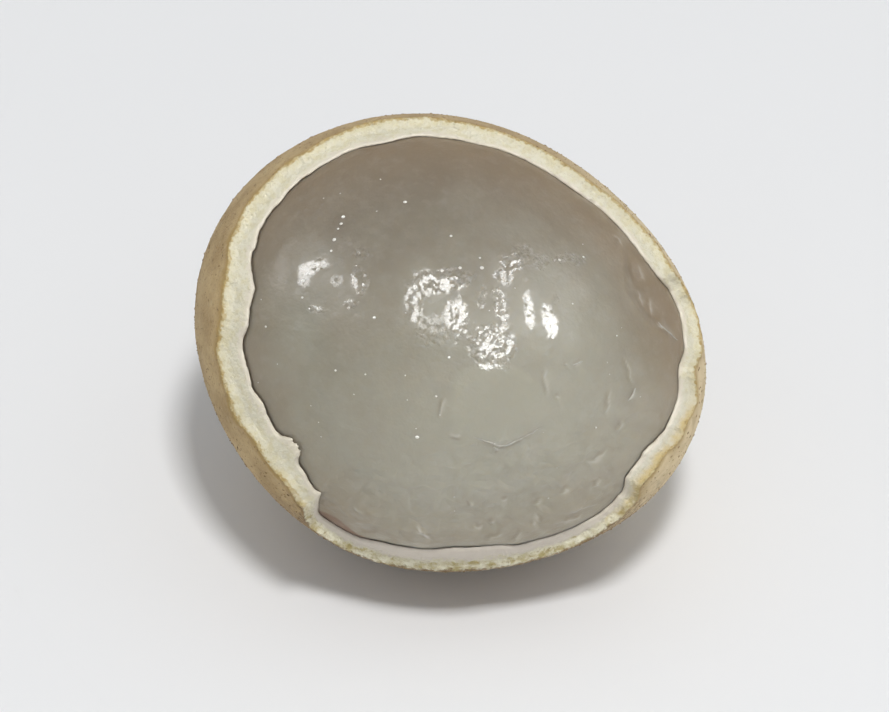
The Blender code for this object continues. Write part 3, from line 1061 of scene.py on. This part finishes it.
def scatter_tree():
    """Small rounded grains spread over a surface, more where its mask attribute is higher."""
    tree, given, result = new_group(
        "Scatter Grains",
        "GeometryNodeTree",
        (
            ("Geometry", "NodeSocketGeometry", None),
            ("Grains per Square Metre", "NodeSocketFloat", 1e6),
            ("Mask", "NodeSocketString", "mask"),
            ("Smallest", "NodeSocketVector", (0.02 * MM, 0.02 * MM, 0.02 * MM)),
            ("Largest", "NodeSocketVector", (0.04 * MM, 0.04 * MM, 0.04 * MM)),
            ("Seed", "NodeSocketInt", 0),
            ("Material", "NodeSocketMaterial", None),
        ),
        (("Geometry", "NodeSocketGeometry"),),
    )
    inputs = {"Name": given["Mask"]}
    mask = add_node(tree, "GeometryNodeInputNamedAttribute", inputs, data_type="FLOAT")
    density = product(tree, mask.outputs["Attribute"], given["Grains per Square Metre"])
    inputs = {"Mesh": given["Geometry"], "Density": density, "Seed": given["Seed"]}
    spread = add_node(tree, "GeometryNodeDistributePointsOnFaces", inputs).outputs
    inputs = {"Radius": 1.0, "Subdivisions": 1}
    grain = add_node(tree, "GeometryNodeMeshIcoSphere", inputs).outputs["Mesh"]
    inputs = {"Min": given["Smallest"], "Max": given["Largest"], "Seed": given["Seed"]}
    size = add_node(tree, "FunctionNodeRandomValue", inputs, data_type="FLOAT_VECTOR")
    place = add_node(tree, "GeometryNodeInstanceOnPoints", {
        "Points": spread["Points"],
        "Instance": grain,
        "Rotation": spread["Rotation"],
        "Scale": size.outputs["Value"],
    })
    real = add_node(tree, "GeometryNodeRealizeInstances", {"Geometry": place.outputs["Instances"]})
    smooth = add_node(tree, "GeometryNodeSetShadeSmooth", {"Geometry": real.outputs["Geometry"]})
    inputs = {"Geometry": smooth.outputs["Geometry"], "Material": given["Material"]}
    dress = add_node(tree, "GeometryNodeSetMaterial", inputs)
    feed(tree, result.inputs["Geometry"], dress.outputs["Geometry"])
    return tree


def scattered(name, carrier, material, **values):
    """A piece of grains spread over the carrier's surface."""
    tree = bpy.data.node_groups.get("Scatter Grains") or scatter_tree()
    return linked_object(name, plain_mesh(name, carrier.data.copy(), tree, Material=material, **values))


def edge_tree():
    """Thin, uneven ridges that lie along curves on a surface and run out at both ends."""
    tree, given, result = new_group(
        "Membrane Ridges",
        "GeometryNodeTree",
        (
            ("Geometry", "NodeSocketGeometry", None),
            ("Surface", "NodeSocketObject", None),
            ("Step", "NodeSocketFloat", 0.05 * MM),
            ("Wander", "NodeSocketFloat", 0.15 * MM),
            ("Lumps per Metre", "NodeSocketFloat", 3200.0),
            ("Material", "NodeSocketMaterial", None),
        ),
        (("Geometry", "NodeSocketGeometry"),),
    )
    inputs = {"Curve": given["Geometry"]}
    line = add_node(tree, "GeometryNodeCurveSplineType", inputs, spline_type="CATMULL_ROM")
    inputs = {"Curve": line.outputs["Curve"], "Length": given["Step"]}
    steps = add_node(tree, "GeometryNodeResampleCurve", inputs, mode="LENGTH")

    # Each point wanders a little, and is then laid back on the surface
    place = add_node(tree, "GeometryNodeInputPosition", {}).outputs["Position"]
    inputs = {"Vector": place, "Scale": given["Lumps per Metre"]}
    lumps = add_node(tree, "ShaderNodeTexNoise", inputs).outputs
    inputs = {0: lumps["Color"], 1: (0.5, 0.5, 0.5)}
    aside = add_node(tree, "ShaderNodeVectorMath", inputs, operation="SUBTRACT")
    inputs = {0: aside.outputs["Vector"], "Scale": given["Wander"]}
    far = add_node(tree, "ShaderNodeVectorMath", inputs, operation="SCALE")
    inputs = {0: place, 1: far.outputs["Vector"]}
    moved = add_node(tree, "ShaderNodeVectorMath", inputs, operation="ADD")
    surface = add_node(tree, "GeometryNodeObjectInfo", {"Object": given["Surface"]})
    inputs = {0: surface.outputs["Geometry"], "Sample Position": moved.outputs["Vector"]}
    nearest = add_node(tree, "GeometryNodeProximity", inputs)
    inputs = {"Geometry": steps.outputs["Curve"], "Position": nearest.outputs["Position"]}
    lay = add_node(tree, "GeometryNodeSetPosition", inputs)

    # The ridge swells and thins along its way, and ends thin
    way = add_node(tree, "GeometryNodeSplineParameter", {}).outputs["Factor"]
    arch = math_node(tree, "SINE", math_node(tree, "MULTIPLY", way, math.pi))
    arch = math_node(tree, "POWER", math_node(tree, "MAXIMUM", arch, 0.04), 0.5)
    swell = math_node(tree, "MULTIPLY", lumps["Fac"], 1.9)
    wide = add_node(tree, "GeometryNodeInputRadius", {}).outputs["Radius"]
    ring = add_node(tree, "GeometryNodeCurvePrimitiveCircle", {"Resolution": 8, "Radius": 1.0})
    tube = add_node(tree, "GeometryNodeCurveToMesh", {
        "Curve": lay.outputs["Geometry"],
        "Profile Curve": ring.outputs["Curve"],
        "Scale": product(tree, arch, swell, wide),
        "Fill Caps": True,
    })
    real = add_node(tree, "GeometryNodeRealizeInstances", {"Geometry": tube.outputs["Mesh"]})
    inputs = {"Geometry": real.outputs["Geometry"], "Material": given["Material"]}
    dress = add_node(tree, "GeometryNodeSetMaterial", inputs)
    feed(tree, result.inputs["Geometry"], dress.outputs["Geometry"])
    return tree


def ridges(name, surface, lines, material):
    """A piece of ridges; each line is a half width and its places on the surface."""
    data = bpy.data.curves.new(name + "_lines", "CURVE")
    data.dimensions = "3D"
    for half_width, places in lines:
        spline = data.splines.new("POLY")
        spline.points.add(len(places) - 1)
        for point, place in zip(spline.points, places):
            point.co = (*place, 1.0)
            point.radius = half_width
    mesh = plain_mesh(name, data, edge_tree(), Surface=surface, Material=material)
    return finished_object(name, mesh)


def laid_on(mesh):
    """Finds the place on the flesh, in the fruit's own frame, that shows at a spot of its face."""
    tree = BVHTree.FromPolygons(
        [vertex.co for vertex in mesh.vertices], [face.vertices for face in mesh.polygons]
    )

    def place(column, row):
        start = Vector((*seen_at(column, row), 2.0 * MEAN_RADIUS))
        return tree.ray_cast(start, Vector((0.0, 0.0, -1.0)))[:2]

    return place


def drops(name, spots):
    """A piece of flat round drops; each is a half width, a place and the surface's normal there."""
    shell = bmesh.new()
    for half_width, place, normal in spots:
        turned = Vector((0.0, 0.0, 1.0)).rotation_difference(normal).to_matrix().to_4x4()
        flat = Matrix.Diagonal((half_width, 0.85 * half_width, 0.5 * half_width, 1.0))
        matrix = Matrix.Translation(place) @ turned @ flat
        bmesh.ops.create_icosphere(shell, subdivisions=2, radius=1.0, matrix=matrix)
    mesh = bpy.data.meshes.new(name)
    shell.to_mesh(mesh)
    shell.free()
    return finished_object(name, mesh)


# Settings


def colour_property(name, description, default):
    return FloatVectorProperty(
        name=name, description=description, default=default, subtype="COLOR", size=3, min=0.0, max=1.0
    )


def length_property(name, description, default):
    return FloatProperty(
        name=name, description=description, default=default, unit="LENGTH", precision=5, min=0.0
    )


class LonganRindSettings(bpy.types.PropertyGroup):
    rim_points: IntProperty(
        name="Rim Points", description="Points round the torn rim", default=960, min=240, step=8
    )
    skin_inset: length_property(
        "Skin Inset", "How far the skin lies under the outline that its grains reach", 0.068 * MM
    )
    grain_length: length_property("Grain Length", "Longest half width of a skin grain", 0.05 * MM)
    wart_length: length_property("Wart Length", "Longest half width of a skin wart", 0.10 * MM)
    crumb_length: length_property("Crumb Length", "Longest half width of a crumb of pith", 0.055 * MM)
    skin_colour: colour_property("Skin", "Colour of the skin", (0.500, 0.360, 0.172))
    skin_shade: colour_property("Skin Shade", "Colour of the skin's browner patches", (0.360, 0.240, 0.095))
    # Faded Skin is the colour of the skin's paler right side
    right_skin_colour: colour_property("Faded Skin", "Colour of the skin's paler side", (0.700, 0.570, 0.345))
    crust_colour: colour_property("Crust", "Colour of the crust's cut edge", (0.400, 0.280, 0.090))
    pith_colour: colour_property("Pith", "Colour of the cut pith", (0.670, 0.632, 0.495))
    pith_shade: colour_property("Pith Shade", "Colour of the pith's yellower crumbs", (0.620, 0.565, 0.380))
    membrane_colour: colour_property("Inner Skin", "Colour of the rind's inner skin", (0.660, 0.600, 0.490))
    grain_colour: colour_property("Grains", "Colour of the skin's grains", (0.380, 0.260, 0.115))
    grain_shade: colour_property("Grain Shade", "Colour of the darkest grains", (0.170, 0.100, 0.040))


class LonganFleshSettings(bpy.types.PropertyGroup):
    gap: length_property("Gap", "Room between the flesh and the rind", 0.02 * MM)
    pebble_depth: length_property("Pebble Depth", "Depth of the wet surface's bumps", 0.070 * MM)
    light_reach: length_property("Light Reach", "How far light travels in the flesh", 1.6 * MM)
    translucency: FloatProperty(
        name="Translucency", description="Share of light that enters the flesh", default=0.9,
        min=0.0, max=1.0, subtype="FACTOR",
    )
    flesh_colour: colour_property("Flesh", "Main colour of the flesh", (0.280, 0.250, 0.192))
    flesh_cloud: colour_property("Cloud", "Colour of its cloudier parts", (0.310, 0.296, 0.236))
    # Far Side and Near Side are painted shade and painted light, standing in for light passing through the
    # flesh
    flesh_painted_shade: colour_property("Far Side", "Colour of its thin, dark side", (0.205, 0.170, 0.130))
    flesh_pale: colour_property("Near Side", "Colour of its thick, pale side", (0.395, 0.378, 0.310))
    # Edge is partly painted shade where the flesh meets the rind
    flesh_edge: colour_property("Edge", "Colour of the flesh beside the rind", (0.250, 0.184, 0.116))


class LonganStageSettings(bpy.types.PropertyGroup):
    floor_colour: colour_property("Floor", "Colour of the floor", (0.788, 0.790, 0.796))


# Operators


class LONGAN_OT_make_rind(bpy.types.Operator):
    """Make the rind: skin, torn rim and inner wall, with crumbs along the rim"""

    bl_idname = "longan.make_rind"
    bl_label = "Make Rind"

    def execute(self, context):
        look = context.scene.longan_rind
        rings, layers = rind_rings(look.rim_points // 8 * 8)
        mesh, values = loft("rind_shell", rings, layers)
        store(mesh, "layer", values)
        piece = finished_object("rind_shell", mesh)
        inset = look.skin_inset
        displaced(mesh, values, lambda co, normal, layer: rind_offset(co, normal, layer, inset))
        mesh.transform(FRUIT_TO_WORLD)
        kept_above_floor(mesh)
        heights = [vertex.co.z for vertex in mesh.vertices]
        skin = [1.0 if v < 0.0 and z > GRAINS_ABOVE else 0.0 for v, z in zip(values, heights)]
        store(mesh, "skin_mask", skin)
        store(mesh, "crumb_mask", [1.0 if CRUMBS_FROM < v < CRUMBS_TO else 0.0 for v in values])
        material = rind_material(look)
        mesh.materials.append(material)
        long = look.crumb_length
        crumbs = scattered(
            "rim_crumbs",
            piece,
            material,
            Grains_per_Square_Metre=3.5e7,
            Mask="crumb_mask",
            Smallest=(0.3 * long, 0.3 * long, 0.2 * long),
            Largest=(long, 0.8 * long, 0.55 * long),
            Seed=11,
        )
        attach(piece, "root")
        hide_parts("rind")
        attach(crumbs, "root")
        return {"FINISHED"}


class LONGAN_OT_make_skin_grains(bpy.types.Operator):
    """Make the dry grains and warts that roughen the rind's skin"""

    bl_idname = "longan.make_skin_grains"
    bl_label = "Make Skin Grains"

    def execute(self, context):
        look = context.scene.longan_rind
        long = look.grain_length
        grains = scattered(
            "skin_grains",
            bpy.data.objects["rind_shell"],
            grain_material(look),
            Grains_per_Square_Metre=3.5e6,
            Mask="skin_mask",
            Smallest=(0.35 * long, 0.35 * long, 0.25 * long),
            Largest=(long, long, 0.6 * long),
            Seed=7,
        )
        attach(grains, "root")
        wide = look.wart_length
        warts = scattered(
            "skin_warts",
            bpy.data.objects["rind_shell"],
            bpy.data.materials["longan_skin_grains"],
            Grains_per_Square_Metre=1.1e6,
            Mask="skin_mask",
            Smallest=(0.4 * wide, 0.35 * wide, 0.25 * wide),
            Largest=(wide, 0.8 * wide, 0.55 * wide),
            Seed=19,
        )
        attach(warts, "root")
        return {"FINISHED"}


class LONGAN_OT_make_flesh(bpy.types.Operator):
    """Make the flesh, with its scar and fold, the edges of membrane on it, and beads of juice"""

    bl_idname = "longan.make_flesh"
    bl_label = "Make Flesh"

    def execute(self, context):
        look = context.scene.longan_flesh
        mesh, marks = loft("flesh_ball", *flesh_rings(look.gap))
        for index, name in enumerate(FLESH_MARKS):
            store(mesh, name, [mark[index] for mark in marks])
        piece = finished_object("flesh_ball", mesh)
        place = laid_on(mesh)
        mesh.transform(FRUIT_TO_WORLD)
        mesh.materials.append(flesh_material(look))

        lines = []
        for half_width, line in MEMBRANE_EDGES:
            if half_width < THICK_EDGE:
                continue
            lines.append((half_width * MM, [FRUIT_TO_WORLD @ place(*pixel)[0] for pixel in line]))
        edges = ridges("membrane_edges", piece, lines, membrane_material())

        wet_drops = []
        for half_width, column, row in BEADS:
            at, normal = place(column, row)
            wet_drops.append((half_width * MM, at, normal))
        beads = drops("juice_beads", wet_drops)
        beads.data.transform(FRUIT_TO_WORLD)
        beads.data.materials.append(bead_material())
        specks = scattered(
            "juice_specks",
            piece,
            beads.data.materials[0],
            Grains_per_Square_Metre=1.1e5,
            Mask="bead_mask",
            Smallest=(0.018 * MM, 0.018 * MM, 0.008 * MM),
            Largest=(0.055 * MM, 0.050 * MM, 0.022 * MM),
            Seed=3,
        )
        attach(piece, "root")
        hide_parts("flesh")
        for extra in (edges, beads, specks):
            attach(extra, "root")
        return {"FINISHED"}


# (name, direction it shines from, width and height in degrees seen from the fruit, brightness in
# watts per steradian and square metre, whether matt surfaces see it, whether wet ones do)
LAMPS = (
    ("key_lamp", (0.094, -0.330, 0.939), 7.5, 7.5, 118.0, True, False),
    ("ceiling_glint", (-0.030, -0.425, 0.905), 22.0, 22.0, 20.0, False, True),
    ("front_glint", (0.351, -0.668, 0.656), 16.0, 13.0, 22.0, False, True),
    ("upper_right_glint", (0.560, 0.010, 0.829), 15.0, 14.0, 20.0, False, True),
    ("middle_glint", (0.438, -0.384, 0.812), 9.0, 16.0, 18.0, False, True),
    ("right_glint", (0.698, -0.298, 0.651), 15.0, 25.0, 24.0, False, True),
    ("left_glint", (-0.789, -0.006, 0.613), 22.0, 18.0, 18.0, False, True),
    ("far_right_glint", (0.799, 0.236, 0.553), 14.0, 10.0, 30.0, False, True),
)
LAMP_DISTANCE = 0.6
FLOOR_HALF_WIDTH = 0.6


def add_lamp(name, direction, width, height, brightness, on_matt, on_wet):
    data = bpy.data.lights.new(name, "AREA")
    data.shape = "RECTANGLE"
    data.size = 2.0 * LAMP_DISTANCE * math.tan(math.radians(width / 2.0))
    data.size_y = 2.0 * LAMP_DISTANCE * math.tan(math.radians(height / 2.0))
    data.energy = brightness * math.pi * data.size * data.size_y
    lamp = linked_object(name, data)
    back = Vector(direction).normalized()
    lamp.location = FRUIT_CENTRE + back * LAMP_DISTANCE
    lamp.rotation_euler = back.to_track_quat("Z", "Y").to_euler()
    lamp.visible_diffuse = on_matt
    lamp.visible_transmission = on_matt
    lamp.visible_glossy = on_wet


def soft_room():
    """A room that is a little brighter round the walls than overhead."""
    world = bpy.data.worlds.new("soft_room")
    world.use_nodes = True
    tree = world.node_tree
    direction = add_node(tree, "ShaderNodeTexCoord", {}).outputs["Generated"]
    split = add_node(tree, "ShaderNodeSeparateXYZ", {"Vector": direction})
    walls = step_node(tree, split.outputs["Z"], 0.10, 0.45, 0.58, 0.49)
    # Wet surfaces mirror it dimly, so that the glint lamps stand out
    mirrored = add_node(tree, "ShaderNodeLightPath", {}).outputs["Is Glossy Ray"]
    strength = product(tree, walls, step_node(tree, mirrored, 0.0, 1.0, 1.0, 0.35))
    feed_all(tree, tree.nodes["Background"], {"Color": (0.96, 0.98, 1.0), "Strength": strength})
    return world


class LONGAN_OT_make_stage(bpy.types.Operator):
    """Make the floor, the soft lights and the camera"""

    bl_idname = "longan.make_stage"
    bl_label = "Make Stage"

    def execute(self, context):
        scene, look = context.scene, context.scene.longan_stage
        mesh = bpy.data.meshes.new("floor")
        half = FLOOR_HALF_WIDTH
        corners = [(-half, -half, 0.0), (half, -half, 0.0), (half, half, 0.0), (-half, half, 0.0)]
        mesh.from_pydata(corners, [], [(0, 1, 2, 3)])
        floor = linked_object("floor", mesh)
        mesh.materials.append(floor_material(look))

        scene.world = soft_room()
        for lamp in LAMPS:
            add_lamp(*lamp)

        data = bpy.data.cameras.new("camera")
        data.sensor_width = SENSOR_WIDTH
        data.lens = SENSOR_WIDTH * CAMERA_DISTANCE / (PICTURE_WIDTH * PIXEL)
        data.clip_start = 0.01
        camera = linked_object("camera", data)
        toward = Vector((0.0, -math.sin(OPENING_LEAN), math.cos(OPENING_LEAN)))
        up = Vector((0.0, math.cos(OPENING_LEAN), math.sin(OPENING_LEAN)))
        aside = (FRUIT_IN_PICTURE[0] - PICTURE_MIDDLE[0]) * PIXEL
        target = FRUIT_CENTRE - Vector((aside, 0.0, 0.0))
        target = target + up * (FRUIT_IN_PICTURE[1] - PICTURE_MIDDLE[1]) * PIXEL
        camera.location = target + toward * CAMERA_DISTANCE
        camera.rotation_euler = (OPENING_LEAN, 0.0, 0.0)
        scene.camera = camera
        scene.view_settings.view_transform = "Standard"
        return {"FINISHED"}


class LONGAN_PT_panel(bpy.types.Panel):
    bl_label = "Longan"
    bl_idname = "LONGAN_PT_panel"
    bl_space_type = "VIEW_3D"
    bl_region_type = "UI"
    bl_category = "Longan"

    def draw(self, context):
        layout = self.layout
        for group in (context.scene.longan_rind, context.scene.longan_flesh, context.scene.longan_stage):
            box = layout.box()
            for name in group.__annotations__:
                box.prop(group, name)
        for operator in OPERATORS:
            layout.operator(operator.bl_idname)


SETTINGS = {
    "longan_rind": LonganRindSettings,
    "longan_flesh": LonganFleshSettings,
    "longan_stage": LonganStageSettings,
}
OPERATORS = (
    LONGAN_OT_make_rind,
    LONGAN_OT_make_skin_grains,
    LONGAN_OT_make_flesh,
    LONGAN_OT_make_stage,
)


def register():
    for kind in (*SETTINGS.values(), *OPERATORS, LONGAN_PT_panel):
        bpy.utils.register_class(kind)
    for name, kind in SETTINGS.items():
        setattr(bpy.types.Scene, name, PointerProperty(type=kind))


def unregister():
    for name in SETTINGS:
        delattr(bpy.types.Scene, name)
    for kind in reversed((*SETTINGS.values(), *OPERATORS, LONGAN_PT_panel)):
        bpy.utils.unregister_class(kind)


def main():
    register()
    bpy.ops.longan.make_rind()
    bpy.ops.longan.make_skin_grains()
    bpy.ops.longan.make_flesh()
    bpy.ops.longan.make_stage()


if __name__ == "__main__":
    main()
